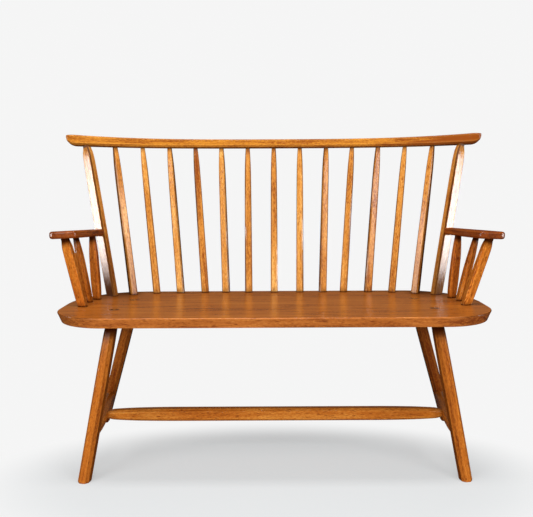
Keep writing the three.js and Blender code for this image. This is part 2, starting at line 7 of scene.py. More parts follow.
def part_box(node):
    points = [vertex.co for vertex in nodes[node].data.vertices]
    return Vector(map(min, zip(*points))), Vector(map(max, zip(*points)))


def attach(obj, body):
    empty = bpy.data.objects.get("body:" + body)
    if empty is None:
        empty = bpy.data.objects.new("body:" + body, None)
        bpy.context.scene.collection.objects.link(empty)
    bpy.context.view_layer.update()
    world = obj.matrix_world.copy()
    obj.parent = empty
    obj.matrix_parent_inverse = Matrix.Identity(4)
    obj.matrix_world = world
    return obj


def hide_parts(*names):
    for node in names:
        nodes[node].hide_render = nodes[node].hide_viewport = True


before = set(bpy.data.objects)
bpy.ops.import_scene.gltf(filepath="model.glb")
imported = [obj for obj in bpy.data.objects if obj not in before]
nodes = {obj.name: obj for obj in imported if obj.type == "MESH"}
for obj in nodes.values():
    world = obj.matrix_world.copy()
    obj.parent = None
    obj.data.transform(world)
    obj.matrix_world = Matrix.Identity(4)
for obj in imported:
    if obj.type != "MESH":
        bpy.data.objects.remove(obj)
scene = bpy.context.scene
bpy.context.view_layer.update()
print("frame loaded with", len(nodes), "solids")

# Shapes are worked out in millimetres, with Y = 0 on the front edge of the seat.
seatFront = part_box("seat")[0].y
mm = 0.001


# small helpers

shaping = {
    "cornerSteps": 3,           # points round each corner of a section
    "cornerShare": 0.42,        # most of the shorter side that a rounded corner may take
    "flatShares": (0.2, 0.72),  # points on the flat between two corners
    "grainReach": 3.0,          # how far apart in the tree, in metres, two pieces may be cut
    "levelShare": 0.5,          # up to here a stick's rings tilt to the level of its foot
}


def unit(v):
    v = np.asarray(v, float)
    return v / np.linalg.norm(v, axis=-1, keepdims=True)


def wander(places, seed, count=5):
    # slow random curve with values from -1 to 1, for the unevenness of hand work
    knots = np.random.default_rng(seed).uniform(-1, 1, count)
    return np.interp(places, np.linspace(0, 1, count), knots)


def ease(value, low, high):
    # 0 below low, 1 above high, and a soft rise between them
    t = np.clip((value - low) / (high - low), 0, 1)
    return t * t * (3 - 2 * t)


def smoothTable(places, knots, values):
    # values of a table between its knots, along a rounded curve that never overshoots
    knots, values = np.asarray(knots, float), np.asarray(values, float)
    slope = np.diff(values) / np.diff(knots)
    tangent = np.zeros(len(knots))
    tangent[0], tangent[-1] = slope[0], slope[-1]
    for i in range(1, len(knots) - 1):
        if slope[i - 1] * slope[i] > 0:
            tangent[i] = 2 * slope[i - 1] * slope[i] / (slope[i - 1] + slope[i])
    result = []
    for p in np.atleast_1d(places):
        i = min(max(np.searchsorted(knots, p) - 1, 0), len(knots) - 2)
        width = knots[i + 1] - knots[i]
        t = (p - knots[i]) / width
        result.append((2 * t**3 - 3 * t**2 + 1) * values[i] + (t**3 - 2 * t**2 + t) * width * tangent[i]
                      + (3 * t**2 - 2 * t**3) * values[i + 1] + (t**3 - t**2) * width * tangent[i + 1])
    return np.array(result)


def roundedSection(corners, radius, steps=shaping["cornerSteps"]):
    # outline of a section with rounded corners: points, normals, and 1 on a corner or 0 on a flat
    corners = np.asarray(corners, float)
    count = len(corners)
    points, normals, edges = [], [], []
    for i in range(count):
        before = corners[i] - corners[i - 1]
        after = corners[(i + 1) % count] - corners[i]
        shortest = min(np.linalg.norm(before), np.linalg.norm(after))
        n0 = unit([before[1], -before[0]])
        n1 = unit([after[1], -after[0]])
        a0 = math.atan2(n0[1], n0[0])
        turn = (math.atan2(n1[1], n1[0]) - a0) % (2 * math.pi)
        r = min(radius, shaping["cornerShare"] * shortest / max(math.tan(turn / 2), 1e-6))
        centre = corners[i] - (n0 + n1) * r / (1 + n0 @ n1)
        for step in range(steps + 1):
            a = a0 + turn * step / steps
            n = np.array([math.cos(a), math.sin(a)])
            points.append(centre + r * n)
            normals.append(n)
            edges.append(1.0)
        end = points[-1]
        nextCorner = corners[(i + 1) % count]
        for flatShare in shaping["flatShares"]:
            points.append(end + (nextCorner - end) * flatShare)
            normals.append(n1)
            edges.append(0.0)
    return np.array(points), np.array(normals), np.array(edges)


def facetCorners(width, depth, cut, uneven):
    # rectangle with its four corners cut off, each cut a little different
    x, y = width / 2, depth / 2
    c = [cut * (1 + u) for u in uneven]
    return [(x, y - c[0]), (x - c[1], y), (c[2] - x, y), (-x, y - c[3]),
            (-x, c[4] - y), (c[5] - x, -y), (x - c[6], -y), (x, c[7] - y)]


def stickFrame(foot, head, turnDegrees):
    # axes across, deep and along a stick, turned about its length
    along = unit(np.subtract(head, foot))
    start = np.array([0.0, 1, 0]) if abs(along[0]) > abs(along[2]) else np.array([1.0, 0, 0])
    across = unit(start - along * (start @ along))
    a = math.radians(turnDegrees)
    across = across * math.cos(a) + np.cross(along, across) * math.sin(a)
    return np.stack([across, np.cross(along, across), along])


def addMesh(name, points, normals, faces, grain, edge, tone, material, shade):
    # The wood reads four things at each point: grain, its place in its own board; edge, 1 on an arris;
    # tone, lighter or darker than the rest; shade, how much painted shade it takes.
    mesh = bpy.data.meshes.new(name)
    place = points * mm
    place[:, 1] += seatFront
    mesh.from_pydata(place.tolist(), [], faces)
    mesh.polygons.foreach_set("use_smooth", [True] * len(mesh.polygons))
    reach = shaping["grainReach"]
    shift = np.random.default_rng(sum(map(ord, name)) * 7).uniform(-reach, reach, 3)
    spots = mesh.attributes.new("grain", "FLOAT_VECTOR", "POINT")
    spots.data.foreach_set("vector", (grain * mm + shift).ravel())
    for key, values in (("edge", edge), ("tone", tone), ("shade", shade)):
        spread = np.ascontiguousarray(np.broadcast_to(values, len(place)), float)
        mesh.attributes.new(key, "FLOAT", "POINT").data.foreach_set("value", spread)
    mesh.materials.append(material)
    mesh.update()
    mesh.normals_split_custom_set_from_vertices(normals.tolist())
    piece = bpy.data.objects.new(name, mesh)
    scene.collection.objects.link(piece)
    return piece


def skinPiece(name, rows, lids, lidShade, tone, material):
    # Skin over rings of one count, closed by two flat lids. A row holds one ring: its points, normals,
    # grain, edge and shade. lidShade is how much of the last ring's painted shade a lid takes.
    total, count = len(rows), len(rows[0][0])
    faces = []
    for ring in range(total - 1):
        low, high = ring * count, (ring + 1) * count
        for i in range(count):
            j = (i + 1) % count
            faces.append((low + i, low + j, high + j, high + i))
    faces.append(tuple(reversed(range(total * count, (total + 1) * count))))
    faces.append(tuple(range((total + 1) * count, (total + 2) * count)))
    for row, normal in zip((rows[0], rows[-1]), lids):
        rows = rows + [(row[0], np.tile(normal, (count, 1)), row[2], np.zeros(count), row[4] * lidShade)]
    points, normals, grain, edge, shade = (np.concatenate(values) for values in zip(*rows))
    return addMesh(name, points, normals, faces, grain, edge, tone, material, shade)


def lidNormal(ring):
    third = len(ring) // 3
    return unit(np.cross(ring[third] - ring[0], ring[2 * len(ring) // 3] - ring[0]))


def loftPiece(name, rows, tone, material):
    # skin over the rings of a stick or the rail, with its normals square to its run
    rings, normals = (np.array([row[part] for row in rows]) for part in (0, 1))
    along = unit(np.gradient(rings, axis=0) + 1e-9)
    square = unit(normals - along * (normals * along).sum(2, keepdims=True))
    rows = [(row[0], own, *row[2:]) for row, own in zip(rows, square)]
    return skinPiece(name, rows, (-lidNormal(rings[0]), lidNormal(rings[-1])), 0, tone, material)


def makeStick(name, foot, head, turn, places, widths, depths, look, material, tone, seed,
              lowLean=True, joint=None, shadeAt=None):
    # shaved stick: a facetted section that swells and thins along the axis, with its arrises eased
    axes = stickFrame(foot, head, turn)
    length = float(np.linalg.norm(head - foot))
    up = axes[:, 2]
    rows = []
    for number, place in enumerate(places):
        share = min(max(place / length, 0), 1)
        uneven = [look["uneven"] * wander(share, seed * 31 + corner) for corner in range(8)]
        cut = min(widths[number], depths[number]) * look["facetShare"]
        corners = facetCorners(widths[number], depths[number], cut, uneven)
        points, normals, edge = roundedSection(corners, look["arris"])
        lean = max(0.0, 1 - share / shaping["levelShare"]) / up[2] if lowLean else 0.0
        drop = lean * (points[:, 0] * up[0] + points[:, 1] * up[1])
        local = np.column_stack([points, place - drop])
        # painted shade: shadeAt's own, and near the ends the darkening where the stick meets the pieces
        # round it
        own = shadeAt(share, normals) if shadeAt else np.zeros(len(edge))
        shade = np.maximum(own, 0 if joint is None else joint[number])
        rows.append((foot + local @ axes, normals @ axes[:2], local, edge, shade))
    return loftPiece(name, rows, tone, material)


# finishes

woodLooks = {
    # darkest, middle and lightest colour, how strongly the open pores show, how fine they are,
    # how rough the varnish is, and how strong the speckle between the pores is
    "honeyWood": {
        "dark": (0.20, 0.038, 0.0045), "middle": (0.47, 0.128, 0.013), "light": (0.70, 0.265, 0.042),
        "pores": 0.9, "dashes": 300, "gloss": 0.13, "mottle": 1.1,
    },
    "boardWood": {
        "dark": (0.20, 0.038, 0.0045), "middle": (0.47, 0.133, 0.019), "light": (0.68, 0.255, 0.050),
        "pores": 1.0, "dashes": 200, "gloss": 0.23, "mottle": 1.1,
    },
    # the seat's top face: a calmer, glossier copy of the board, in darker colours as painted shade
    "shadedTopWood": {
        "dark": (0.21, 0.050, 0.0070), "middle": (0.39, 0.110, 0.013), "light": (0.54, 0.180, 0.025),
        "pores": 0.3, "dashes": 200, "gloss": 0.27, "mottle": 0.6,
    },
    "postWood": {
        "dark": (0.15, 0.022, 0.0025), "middle": (0.46, 0.116, 0.010), "light": (0.72, 0.260, 0.036),
        "pores": 0.9, "dashes": 260, "gloss": 0.10, "mottle": 1.3,
    },
    "amberWood": {
        "dark": (0.26, 0.058, 0.007), "middle": (0.60, 0.233, 0.038), "light": (0.88, 0.475, 0.135),
        "pores": 0.8, "dashes": 270, "gloss": 0.13, "mottle": 1.2,
    },
    "railWood": {
        "dark": (0.26, 0.058, 0.005), "middle": (0.60, 0.226, 0.022), "light": (0.87, 0.44, 0.090),
        "pores": 0.55, "dashes": 330, "gloss": 0.13, "mottle": 0.9,
    },
    "redWood": {
        "dark": (0.075, 0.012, 0.0015), "middle": (0.215, 0.042, 0.0045), "light": (0.40, 0.100, 0.013),
        "pores": 0.45, "dashes": 300, "gloss": 0.24, "mottle": 0.7,
    },
    "endGrain": {
        "dark": (0.06, 0.013, 0.002), "middle": (0.16, 0.042, 0.006), "light": (0.26, 0.080, 0.012),
        "pores": 0.6, "dashes": 330, "gloss": 0.30, "mottle": 0.7,
    },
    "wedgeWood": {
        "dark": (0.16, 0.050, 0.008), "middle": (0.27, 0.095, 0.018), "light": (0.38, 0.155, 0.035),
        "pores": 0.3, "dashes": 330, "gloss": 0.26, "mottle": 0.5,
    },
}
pattern = {
    # noise drawn out along the board: squeeze along it, scale, detail, roughness, distortion
    "rings": (0.07, 120, 4, 0.62, 0.5),    # growth rings cut lengthwise
    "bands": (0.10, 30, 2, 0.5, 1.0),      # broad figure
    "clouds": (0.45, 11, 2, 0.5, 0.0),     # stain taken up unevenly
    "mottle": (0.36, 300, 3, 0.75, 0.0),   # small speckle between the pores
    "ripples": (0.25, 45, 1, 0.4, 0.0),    # faint waves left by the shave
    "poreSqueeze": 0.20, "poreDetail": 2, "poreRough": 0.65,
    # how much each one counts in the figure, and where the figure turns from colour to colour
    "ringPart": 0.40, "bandPart": 0.35, "cloudPart": 0.25, "mottlePart": 0.45,
    "toMiddle": (0.32, 0.52), "toLight": (0.50, 0.72), "toPore": (0.56, 0.70),
    # rubbedEdge lightens worn arrises; the next colour is the deep brown that painted shade darkens towards
    "rubbedEdge": 0.12, "paintedShadeColour": (0.040, 0.006, 0.0006),
    "cloudSpan": (0.3, 0.7), "roughness": (0.42, 0.58),
    # relief of the wood and of the varnish on it, and its depth in metres
    "rippleRelief": 1.4, "ringRelief": 0.3, "relief": 0.4,
    "filmPore": 0.35, "filmRelief": 0.3, "depth": 0.6 * mm,
    # how far painted shade, arrises and grazing faces dull the varnish
    "shadeDull": 0.93, "edgeDull": 0.15, "rimFacing": (0.86, 0.97), "rimSheen": 0.05, "pegVarnish": 0.5,
    "lineColour": (0.02, 0.008, 0.003, 1), "lineRoughness": 0.7,    # gap round a tenon
}


def feed(tree, socket, value):
    # a socket takes either a plain value or another node's output
    if hasattr(value, "is_linked"):
        tree.links.new(value, socket)
    else:
        socket.default_value = value


def addNode(tree, kind, settings=None, **sockets):
    node = tree.nodes.new(kind)
    for key, value in (settings or {}).items():
        setattr(node, key, value)
    for key, value in sockets.items():
        feed(tree, node.inputs[key.replace("_", " ")], value)
    return node


def makeWood(name, look, readGrain=True):
    # oak with its figure, open pores and varnish; without readGrain it lies along the object's own axes
    material = bpy.data.materials.new(name)
    material.use_nodes = True
    tree = material.node_tree
    shader = tree.nodes["Principled BSDF"]

    def maths(kind, a, b):
        node = addNode(tree, "ShaderNodeMath", {"operation": kind})
        feed(tree, node.inputs[0], a)
        feed(tree, node.inputs[1], b)
        return node.outputs[0]

    def grain(squeeze, scale, detail, rough, warp):
        place = addNode(tree, "ShaderNodeMapping", Vector=source, Scale=(1, 1, squeeze)).outputs[0]
        return addNode(tree, "ShaderNodeTexNoise", Vector=place, Scale=scale, Detail=detail,
                       Roughness=rough, Distortion=warp).outputs["Fac"]

    def between(value, low, high, first=0.0, last=1.0):
        return addNode(tree, "ShaderNodeMapRange", {"interpolation_type": "SMOOTHSTEP"}, Value=value,
                       From_Min=low, From_Max=high, To_Min=first, To_Max=last).outputs[0]

    def blend(share, first, second):
        node = addNode(tree, "ShaderNodeMix", {"data_type": "RGBA"})
        for number, value in ((0, share), (6, first), (7, second)):
            feed(tree, node.inputs[number], value)
        return node.outputs[2]

    def attribute(key, output="Fac"):
        return addNode(tree, "ShaderNodeAttribute", {"attribute_name": key}).outputs[output]

    source = addNode(tree, "ShaderNodeTexCoord").outputs["Object"]
    if readGrain:
        source = attribute("grain", "Vector")
    rings, bands, clouds, mottle, ripples = (
        grain(*pattern[key]) for key in ("rings", "bands", "clouds", "mottle", "ripples"))
    pores = grain(pattern["poreSqueeze"], look["dashes"], pattern["poreDetail"], pattern["poreRough"], 0)

    # figure of the wood, kept round the same middle however strong the speckle is
    speckle = pattern["mottlePart"] * look["mottle"]
    figure = maths("MULTIPLY", rings, pattern["ringPart"])
    for layer, part in ((bands, pattern["bandPart"]), (clouds, pattern["cloudPart"]), (mottle, speckle)):
        figure = maths("ADD", figure, maths("MULTIPLY", layer, part))
    figure = maths("SUBTRACT", figure, speckle / 2)
    if readGrain:
        figure = maths("ADD", figure, attribute("tone"))

    dark, middle, light = [(*look[key], 1) for key in ("dark", "middle", "light")]
    colour = blend(between(figure, *pattern["toMiddle"]), dark, middle)
    colour = blend(between(figure, *pattern["toLight"]), colour, light)
    opened = between(pores, *pattern["toPore"], 0.0, look["pores"])
    colour = blend(opened, colour, dark)
    if readGrain:
        colour = blend(maths("MULTIPLY", attribute("edge"), pattern["rubbedEdge"]), colour, light)
        # painted shade: the colour darkens towards a deep brown as far as the shade attribute says
        colour = blend(attribute("shade"), colour, (*pattern["paintedShadeColour"], 1))
    feed(tree, shader.inputs["Base Color"], colour)

    height = maths("SUBTRACT", maths("MULTIPLY", ripples, pattern["rippleRelief"]), opened)
    height = maths("ADD", height, maths("MULTIPLY", rings, pattern["ringRelief"]))
    filmHeight = maths("SUBTRACT", ripples, maths("MULTIPLY", opened, pattern["filmPore"]))
    for relief, key, target in ((height, "relief", "Normal"), (filmHeight, "filmRelief", "Coat Normal")):
        bump = addNode(tree, "ShaderNodeBump", Height=relief, Strength=pattern[key],
                       Distance=pattern["depth"])
        feed(tree, shader.inputs[target], bump.outputs[0])
    feed(tree, shader.inputs["Roughness"], between(clouds, *pattern["cloudSpan"], *pattern["roughness"]))
    shader.inputs["Coat Roughness"].default_value = look["gloss"]
    shader.inputs["Specular IOR Level"].default_value = 0.0
    if readGrain:
        # hardly any sheen under painted shade, less on arrises, and little where the surface is seen edge
        # on
        facing = addNode(tree, "ShaderNodeLayerWeight", Blend=0.5).outputs["Facing"]
        varnish = between(facing, *pattern["rimFacing"], 1.0, pattern["rimSheen"])
        for key, dull in (("shade", pattern["shadeDull"]), ("edge", pattern["edgeDull"])):
            left = maths("SUBTRACT", 1.0, maths("MULTIPLY", attribute(key), dull))
            varnish = maths("MULTIPLY", varnish, left)
        feed(tree, shader.inputs["Coat Weight"], varnish)
    else:
        shader.inputs["Coat Weight"].default_value = pattern["pegVarnish"]
    return material


woods = {name: makeWood(name, look) for name, look in woodLooks.items()}
pegWood = makeWood("pegWood", woodLooks["endGrain"], readGrain=False)
jointLine = bpy.data.materials.new("jointLine")
jointLine.use_nodes = True
for socket, key in (("Base Color", "lineColour"), ("Roughness", "lineRoughness")):
    jointLine.node_tree.nodes["Principled BSDF"].inputs[socket].default_value = pattern[key]
print("finishes made")


# seat board

seat = {
    "height": 435, "thickness": 28, "halfWidth": 586, "depth": 425,
    "frontCorner": (146, 140), "backCorner": (191, 209), "cornerSteps": 40,
    "undercut": 11, "topArris": 2.6, "lowArris": 3.5, "topInsets": (8, 18, 32, 50, 70, 92, 116),
    # lighter or darker as a whole, and darker on the right end below the top as painted shade
    "tone": 0.0, "endShadeTone": -0.12, "endToneAcross": (340, 570), "endToneUnder": 1,
    # painted shade on the back corners, along the back, on the left end and on the end arrises
    "cornerShade": 0.78, "cornerAcross": (370, 450), "cornerDeep": (230, 390), "shadeBottom": -8,
    "backShade": 0.2, "backDeep": (405, 424),
    "leftShade": 0.32, "leftAcross": (480, 560), "leftTop": -0.3,
    "arrisShade": 0.6, "arrisAcross": (430, 490), "arrisHeights": (-2.8, -0.1),
}
# points round an arris, rows between the arrises, and how far the top one follows a slanting side
boardEdge = {"arrisSteps": 5, "sideShares": (0.62, 0.30), "topPull": 0.5}


def seatOutline():
    # rounded plan of the seat, anticlockwise from its right end, with its outward normals
    points, normals = [], []
    (fa, fd), (ba, bd) = seat["frontCorner"], seat["backCorner"]
    across, deep = seat["halfWidth"], seat["depth"]
    corners = [(across - ba, deep - bd, ba, bd, 0), (ba - across, deep - bd, ba, bd, 1),
               (fa - across, fd, fa, fd, 2), (across - fa, fd, fa, fd, 3)]
    for cx, cy, rx, ry, quarter in corners:
        for step in range(seat["cornerSteps"] + 1):
            a = math.pi / 2 * (quarter + step / seat["cornerSteps"])
            points.append((cx + rx * math.cos(a), cy + ry * math.sin(a)))
            normals.append((math.cos(a) / rx, math.sin(a) / ry))
    return np.array(points), unit(normals)


def edgeProfile(thickness, undercut, lowArris, topArris):
    # edge of a board from its underside to its top: inset, height, normal outwards and up, 1 on an arris
    slope = math.atan2(undercut, thickness)
    out, lean = math.cos(slope), math.tan(slope)

    def arris(first, last, r, inset, height):
        return [(inset - r * math.cos(a), height + r * math.sin(a), math.cos(a), math.sin(a), 1.0)
                for a in np.linspace(first, last, boardEdge["arrisSteps"])]

    lowInset = undercut + lowArris / out - lowArris * lean
    topInset = topArris / out + topArris * lean * boardEdge["topPull"]
    low = arris(-math.pi / 2, -slope, lowArris, lowInset, lowArris - thickness)
    side = [(undercut * share, -thickness * share, out, -math.sin(slope), 0.0)
            for share in boardEdge["sideShares"]]
    return low + side + arris(-slope, math.pi / 2, topArris, topInset, -topArris)


def makeBoard(name, outline, normals, profile, place, order, tone, material, axes=np.eye(3), shadeAt=None):
    # board with a rounded edge, in rings from the underside to the top; the grain runs as order says
    count = len(outline)
    rows = []
    for inset, height, out, up, edge in profile:
        local = np.column_stack([outline - normals * inset, np.full(count, height)])
        turned = unit(np.column_stack([normals * out, np.full(count, up)]) @ axes)
        shade = shadeAt(local) if shadeAt else np.zeros(count)
        rows.append((place + local @ axes, turned, local[:, order], np.full(count, edge), shade))
    return skinPiece(name, rows, (-axes[2], axes[2]), 1, tone, material)


def seatShade(local):
    # painted shade on the seat: back corners, a line along the back, the left end and the end arrises
    across, deep, height = local.T
    side = np.abs(across)
    low, high = seat["arrisHeights"]
    corners = ease(deep, *seat["cornerDeep"]) * ease(side, *seat["cornerAcross"]) * seat["cornerShade"]
    back = ease(deep, *seat["backDeep"]) * seat["backShade"]
    upper = np.where(height > seat["shadeBottom"], np.maximum(corners, back), 0.0)
    left = ease(-across, *seat["leftAcross"]) * (height < seat["leftTop"]) * seat["leftShade"]
    arris = ease(side, *seat["arrisAcross"]) * (height > low) * (height < high) * seat["arrisShade"]
    return np.maximum.reduce([upper, left, arris])


outline, outlineNormals = seatOutline()
edgeRows = edgeProfile(seat["thickness"], seat["undercut"], seat["lowArris"], seat["topArris"])
topRows = [(inset, 0, 0, 1, 0) for inset in seat["topInsets"]]
seatPiece = makeBoard("seat_board", outline, outlineNormals, edgeRows + topRows, [0, 0, seat["height"]],
                      [1, 2, 0], seat["tone"], woods["boardWood"], shadeAt=seatShade)
# painted shade: the seat's right end below the top takes a darker tone
seatTones = []
for vertex in seatPiece.data.vertices:
    below = vertex.co.z / mm < seat["height"] - seat["endToneUnder"]
    right = ease(vertex.co.x / mm, *seat["endToneAcross"])
    seatTones.append(seat["tone"] + seat["endShadeTone"] * right * below)
seatPiece.data.attributes["tone"].data.foreach_set("value", seatTones)
# the top face takes the darker copy of the board's wood, painted shade for the top
seatPiece.data.materials.append(woods["shadedTopWood"])
topFaces = range((len(edgeRows) - 1) * len(outline), len(seatPiece.data.polygons))
for number in (*topFaces[:-2], topFaces[-1]):
    seatPiece.data.polygons[number].material_index = 1
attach(seatPiece, "root")
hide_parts("seat")
print("seat made")


# crest rail

rail = {
    "under": 882.5, "halfLength": 637.5, "height": 24.5, "endHeight": 32, "depth": 29,
    "underCut": 5, "topCut": 3, "bow": 72, "rise": 7, "tipLength": 28, "tipHeight": 9, "tipDepth": 17,
    "power": 3, "arris": 1.6, "steps": 44, "tipSteps": 14, "backLean": 103, "spindleFoot": 0.948,
    # lighter or darker as a whole and towards each end; the darker right end is painted shade
    "tone": -0.06, "rightShadeTone": -0.22, "rightAcross": (300, 600),
    "leftTone": -0.05, "leftAcross": (520, 610),
    # painted shade on faces that look down, most of it near the ends, and round the tips
    "lowShade": 0.03, "lowEndShade": 0.45, "lowFacing": (0.25, 0.8), "lowEndAcross": (470, 610),
    "tipShade": 0.32, "tipAcross": (622, 637),
}
backRake = math.atan2(rail["backLean"], rail["under"] - seat["height"])
# its section's axes, one backwards and one up along the back
railAxes = np.array([[0, math.cos(backRake), -math.sin(backRake)],
                     [0, math.sin(backRake), math.cos(backRake)]])


def underRail(across):
    # middle of the rail's underside
    bend = abs(across / rail["halfLength"]) ** rail["power"]
    back = seat["depth"] * rail["spindleFoot"] + rail["backLean"]
    return np.array([across, back - rail["bow"] * bend, rail["under"] + rail["rise"] * bend])


def railSection(across):
    # section with cut-off corners, which sweeps up and thins out in the tips
    into = max(0.0, abs(across) - rail["halfLength"] + rail["tipLength"]) / rail["tipLength"]
    sweep = 1 - math.sqrt(max(0.0, 1 - into ** 2))
    bend = abs(across / rail["halfLength"]) ** rail["power"]
    tall = rail["height"] + (rail["endHeight"] - rail["height"]) * bend
    low = (tall - rail["tipHeight"]) * sweep
    high = tall - rail["topCut"] * sweep
    half = (rail["depth"] - (rail["depth"] - rail["tipDepth"]) * sweep) / 2
    underCut = rail["underCut"] - (rail["underCut"] - rail["topCut"]) * sweep
    topCut = rail["topCut"] * (2 - sweep) / 2
    return [(half, low + underCut), (half, high - topCut), (half - topCut, high), (topCut - half, high),
            (-half, high - topCut), (-half, low + underCut), (underCut - half, low), (half - underCut, low)]


def makeRail():
    straightEnd = rail["halfLength"] - rail["tipLength"]
    quarter = np.linspace(0, math.pi / 2, rail["tipSteps"] + 1)[1:]
    half = [*np.linspace(0, straightEnd, rail["steps"] + 1)]
    half += [*(straightEnd + rail["tipLength"] * np.sin(quarter))]
    places = [-p for p in reversed(half[1:])] + half
    rows, tones = [], []
    for across in places:
        points, normals, edge = roundedSection(railSection(across), rail["arris"])
        # painted shade on the faces that look down and round the tips
        low = rail["lowShade"] + rail["lowEndShade"] * ease(abs(across), *rail["lowEndAcross"])
        tip = rail["tipShade"] * ease(abs(across), *rail["tipAcross"])
        shade = np.maximum(low * ease(-normals[:, 1], *rail["lowFacing"]), tip)
        rows.append((underRail(across) + points @ railAxes, normals @ railAxes,
                     np.column_stack([points, np.full(len(points), across)]), edge, shade))
        # the right end takes a darker tone as painted shade
        tones.append(rail["tone"] + rail["rightShadeTone"] * ease(across, *rail["rightAcross"])
                     + rail["leftTone"] * ease(-across, *rail["leftAcross"]))
    tones = np.repeat(tones + [tones[0], tones[-1]], len(edge))
    return loftPiece("rail_bent", rows, tones, woods["railWood"])


railPiece = makeRail()
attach(railPiece, "root")
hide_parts("crest_rail")
print("crest rail made")


# back spindles and end posts

spindle = {
    "width": 20.8, "shares": [1.07, 1.06, 1.03, 0.98, 0.93, 0.88, 0.78, 0.62],
    "along": [0, 0.08, 0.3, 0.6, 0.78, 0.86, 0.93, 1],
    # from the middle one outwards
    "footAcross": [0, 0.1355, 0.2554, 0.366, 0.495, 0.619, 0.735],
    "footDeep": [0.948, 0.948, 0.948, 0.947, 0.942, 0.92, 0.868],
    "headAcross": [0, 0.13, 0.261, 0.39, 0.518, 0.6485, 0.78],
    "turns": [0, -6, 8, -10, 6, -8, -32],
    "tones": {
        "left": [0.02, -0.02, 0.06, -0.05, 0.05, -0.02, -0.03],
        "right": [0.02, 0.02, 0.01, -0.02, -0.07, 0.0, -0.04],
    },
    "facetShare": 0.17, "arris": 1.0, "uneven": 0.25, "rings": 30, "into": 6, "headShort": 2.9,
    # painted shade on the side faces, and more of it low down on the outermost ones
    "sideShade": 0.75, "sideFacing": (0.5, 0.9), "outerShade": 0.9, "outerShares": (0.35, 0.6),
    "footShade": 0.28, "footShares": (0.05, 0.5),
}
endPost = {
    "width": 38, "thickness": 21, "along": [0, 0.06, 0.2, 0.45, 0.75, 0.9, 0.96, 1],
    "shares": [0.95, 0.98, 1, 1, 1, 0.97, 0.85, 0.6],
    "footAcross": 0.836, "footDeep": 0.815, "headAcross": 0.91, "turn": 35, "tone": -0.04, "seed": 40,
    "facetShare": 0.2, "arris": 1.4, "uneven": 0.10, "rings": 34, "into": 6, "headShort": 5,
    # painted shade at the foot of the wide face, in a line along its arrises and on the narrow faces
    "footShade": {"left": 0.93, "right": 0.68}, "footShares": (0.03, 0.40), "arrisShade": 1.7,
    "narrowShade": 0.6, "narrowLess": 0.4, "narrowShares": (0.1, 0.55),
}
stickEnds = {
    # rings above the foot and below the head, where the painted shade changes fast
    "footRings": [0, 0.6, 1.6, 3.2, 5.5], "headRings": (4, 1.5),
    # painted shade at the foot and under the piece above: clear height, fade and strength
    "footClear": 1.8, "footFade": 4.2,
    "headClear": 5, "headFade": 3.0, "headShade": 0.85, "mostShade": 0.97,
}


def onSeat(sign, acrossShare, deepShare):
    # place on the seat's top, as shares of its half width and depth
    return np.array([sign * seat["halfWidth"] * acrossShare, seat["depth"] * deepShare, seat["height"]])


def addStick(nodeName, foot, head, turn, look, profile, sizesOf, wood, tone, seed, shadeAt):
    # stick from the seat into the piece above, with more rings and painted shade where it meets them
    length = np.linalg.norm(head - foot)
    bodyTop = length - look["headShort"]
    below, nearTop = stickEnds["headRings"]
    first = stickEnds["footRings"]
    places = first + list(np.linspace(first[-1], bodyTop - below, look["rings"]))[1:]
    places = np.array(places + [bodyTop - nearTop, bodyTop, bodyTop + look["into"]])
    # painted shade close over the seat and close under the piece above
    low = np.exp(-np.maximum(0, places - stickEnds["footClear"]) / stickEnds["footFade"])
    high = np.exp(-np.maximum(0, length - stickEnds["headClear"] - places) / stickEnds["headFade"])
    joint = np.clip(np.maximum(low, stickEnds["headShade"] * high), 0, stickEnds["mostShade"])
    widths, depths = sizesOf(smoothTable(np.clip(places / bodyTop, 0, 1), look["along"], profile))
    piece = makeStick("stick_" + nodeName, foot, head, turn, places, widths, depths, look, wood, tone, seed,
                      joint=joint, shadeAt=shadeAt)
    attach(piece, "root")
    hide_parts(nodeName)


def addSpindle(nodeName, side, sign, index):
    def shadeAt(share, normals):
        # painted shade on the side faces, and low down on the outermost sticks
        sidePaintedShade = ease(np.abs(normals[:, 0]), *spindle["sideFacing"]) * spindle["sideShade"]
        if index < len(spindle["turns"]) - 1:
            return sidePaintedShade
        fade = 1 - ease(share, *spindle["outerShares"])
        outer = np.clip(sign * normals[:, 0], 0, 1) ** 2 * spindle["outerShade"] * fade
        low = spindle["footShade"] * (1 - ease(share, *spindle["footShares"]))
        return np.maximum(np.maximum(sidePaintedShade, outer), low)

    foot = onSeat(sign, spindle["footAcross"][index], spindle["footDeep"][index])
    head = underRail(sign * rail["halfLength"] * spindle["headAcross"][index])
    addStick(nodeName, foot, head, sign * spindle["turns"][index], spindle, spindle["shares"],
             lambda shares: (spindle["width"] * shares, spindle["width"] * shares), woods["amberWood"],
             spindle["tones"][side][index], index * 2 + (sign > 0), shadeAt)


def addEndPost(side, sign):
    def shadeAt(share, normals):
        # painted shade on the wide face's foot, along the arrises and on the narrow faces
        across, front = np.abs(normals[:, 0]), np.clip(-normals[:, 1], 0, 1)
        wide = front ** 3 * (1 - ease(share, *endPost["footShares"])) * endPost["footShade"][side]
        arris = across * front * endPost["arrisShade"]
        fade = endPost["narrowShade"] - endPost["narrowLess"] * ease(share, *endPost["narrowShares"])
        return np.clip(np.maximum(np.maximum(wide, arris), across ** 3 * fade), 0, 1)

    foot = onSeat(sign, endPost["footAcross"], endPost["footDeep"])
    head = underRail(sign * rail["halfLength"] * endPost["headAcross"])
    addStick("end_post_" + side, foot, head, sign * endPost["turn"], endPost, endPost["shares"],
             lambda shares: (endPost["width"] * shares, endPost["thickness"] * (1 + shares) / 2),
             woods["amberWood"], endPost["tone"], endPost["seed"] + (sign > 0), shadeAt)
    return foot, head


sides = [("left", -1), ("right", 1)]
addSpindle("spindle_middle", "right", 1, 0)
posts = {}
for side, sign in sides:
    for index in range(1, len(spindle["turns"])):
        addSpindle(f"spindle_{side}_{index}", side, sign, index)
    posts[side] = addEndPost(side, sign)
print("back sticks made")


# arms and their posts

